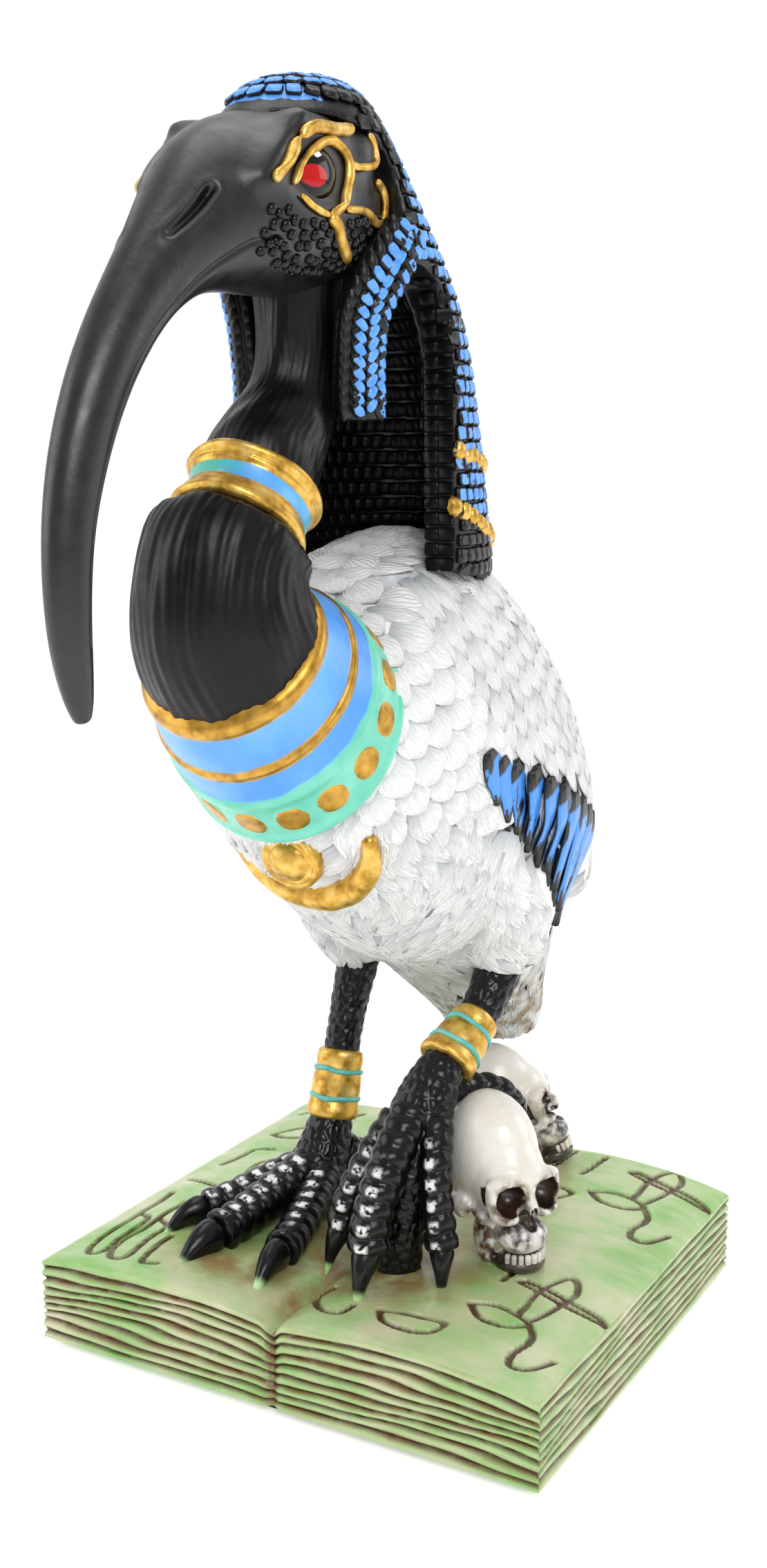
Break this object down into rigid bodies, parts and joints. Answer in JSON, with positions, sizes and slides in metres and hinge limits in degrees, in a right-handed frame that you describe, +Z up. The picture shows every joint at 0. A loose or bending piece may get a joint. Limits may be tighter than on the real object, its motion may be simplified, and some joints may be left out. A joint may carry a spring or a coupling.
{
  "type": "painted ibis figurine",
  "caption": "Painted resin figurine of a wigged ibis with a broad collar, standing on an open book beside two skulls.",
  "frame": {"origin": "middle of the felt pad's underside, where the figure stands", "axes": "+Z up; the bird looks along -Y; +X is the bird's left, along the width of the open book"},
  "size_m": [0.1, 0.1432, 0.2175],
  "materials": {
    "plumage_white": "matt white paint on cast resin",
    "head_black": "satin black paint on cast resin",
    "leg_black": "gloss black paint with white and pale green touches",
    "braid_blue": "blue dry-brushed over black",
    "band_blue": "satin blue paint",
    "turquoise": "satin turquoise paint",
    "gold_paint": "metallic gold paint with brown in the hollows",
    "bone": "gloss ivory paint with a brown wash",
    "page_green": "pale green and cream paint with a brown wash in the lines",
    "felt_black": "black felt"
  },
  "bodies": {
    "root": {"ibis_figure": "plumage_white", "book_base": "page_green", "felt_pad": "felt_black"}
  },
  "joints": []
}
